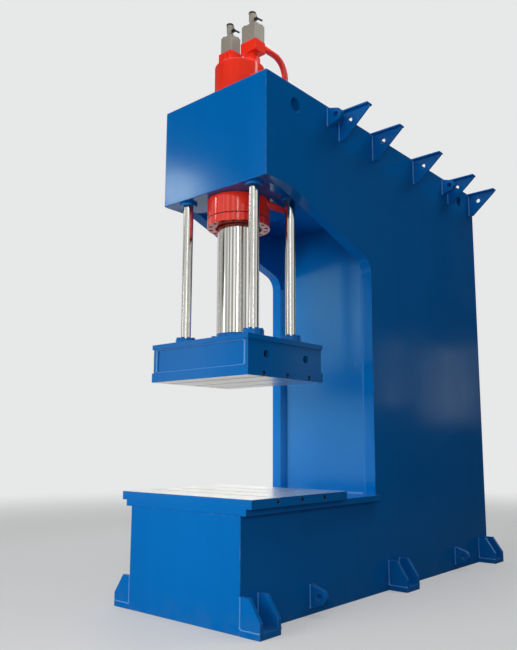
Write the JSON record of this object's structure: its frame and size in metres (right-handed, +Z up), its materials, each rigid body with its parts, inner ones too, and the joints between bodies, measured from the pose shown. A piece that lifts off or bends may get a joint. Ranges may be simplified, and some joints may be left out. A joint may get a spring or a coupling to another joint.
{
  "type": "hydraulic press",
  "caption": "Single-column C-frame hydraulic press with a guided slide on a chromed ram and four rods above a T-slotted worktable, valves on the cylinder, lifting lugs and anchor feet.",
  "frame": {"origin": "on the floor under the middle of the bounding box, on the press's plane of symmetry", "axes": "+Z up, +Y from the open front towards the column, +X to the right as seen from the front"},
  "size_m": [2.3106, 5.073, 6.3673],
  "materials": {
    "blue_paint": "glossy blue enamel on welded plate, with weld beads along the joints",
    "red_paint": "semi-gloss red-orange enamel on turned and drilled steel",
    "valve_grey": "satin grey coating on machined valve bodies",
    "hard_chrome": "ground and polished hard chrome",
    "machined_steel": "bare milled and ground steel",
    "bronze": "bored bearing bronze"
  },
  "bodies": {
    "frame": {"left_side_plate": "blue_paint", "right_side_plate": "blue_paint", "head_front_plate": "blue_paint", "head_bottom_plate": "blue_paint", "head_rear_plate": "blue_paint", "head_top_plate": "blue_paint", "column_front_plate": "blue_paint", "column_back_plate": "blue_paint", "base_front_plate": "blue_paint", "table_support": "blue_paint", "worktable": "machined_steel", "anchor_foot_left_front": "blue_paint", "anchor_foot_left_middle": "blue_paint", "anchor_foot_left_rear": "blue_paint", "lower_lug_left_front": "blue_paint", "lower_lug_left_rear": "blue_paint", "upper_lug_left_front": "blue_paint", "upper_lug_left_rear": "blue_paint", "platform_bracket_left_1": "blue_paint", "platform_bracket_left_2": "blue_paint", "platform_bracket_left_3": "blue_paint", "platform_bracket_left_4": "blue_paint", "platform_bracket_left_5": "blue_paint", "anchor_foot_right_front": "blue_paint", "anchor_foot_right_middle": "blue_paint", "anchor_foot_right_rear": "blue_paint", "lower_lug_right_front": "blue_paint", "lower_lug_right_rear": "blue_paint", "upper_lug_right_front": "blue_paint", "upper_lug_right_rear": "blue_paint", "platform_bracket_right_1": "blue_paint", "platform_bracket_right_2": "blue_paint", "platform_bracket_right_3": "blue_paint", "platform_bracket_right_4": "blue_paint", "platform_bracket_right_5": "blue_paint", "cylinder": "red_paint", "gland_ring": "red_paint", "gland_bush": "bronze", "cylinder_nut": "red_paint", "guide_bush_front_left": "blue_paint", "guide_bush_front_right": "blue_paint", "guide_bush_rear_left": "blue_paint", "guide_bush_rear_right": "blue_paint", "left_valve_base": "red_paint", "right_valve_base": "red_paint", "oil_pipe": "red_paint", "return_pipe": "red_paint", "left_valve_cover": "valve_grey", "right_valve_cover": "valve_grey", "left_pilot_valve": "valve_grey", "right_pilot_valve": "valve_grey"},
    "ram_slide": {"plunger": "hard_chrome", "ram_flange": "blue_paint", "slide_top_plate": "blue_paint", "slide_box": "blue_paint", "slide_bottom_plate": "machined_steel", "guide_rod_front_left": "hard_chrome", "guide_rod_front_right": "hard_chrome", "guide_rod_rear_left": "hard_chrome", "guide_rod_rear_right": "hard_chrome"}
  },
  "joints": [
    {"name": "ram_stroke", "type": "slide", "parent": "frame", "child": "ram_slide", "axis": [0, 0, 1], "range_m": [-0.6, 0.45]}
  ]
}
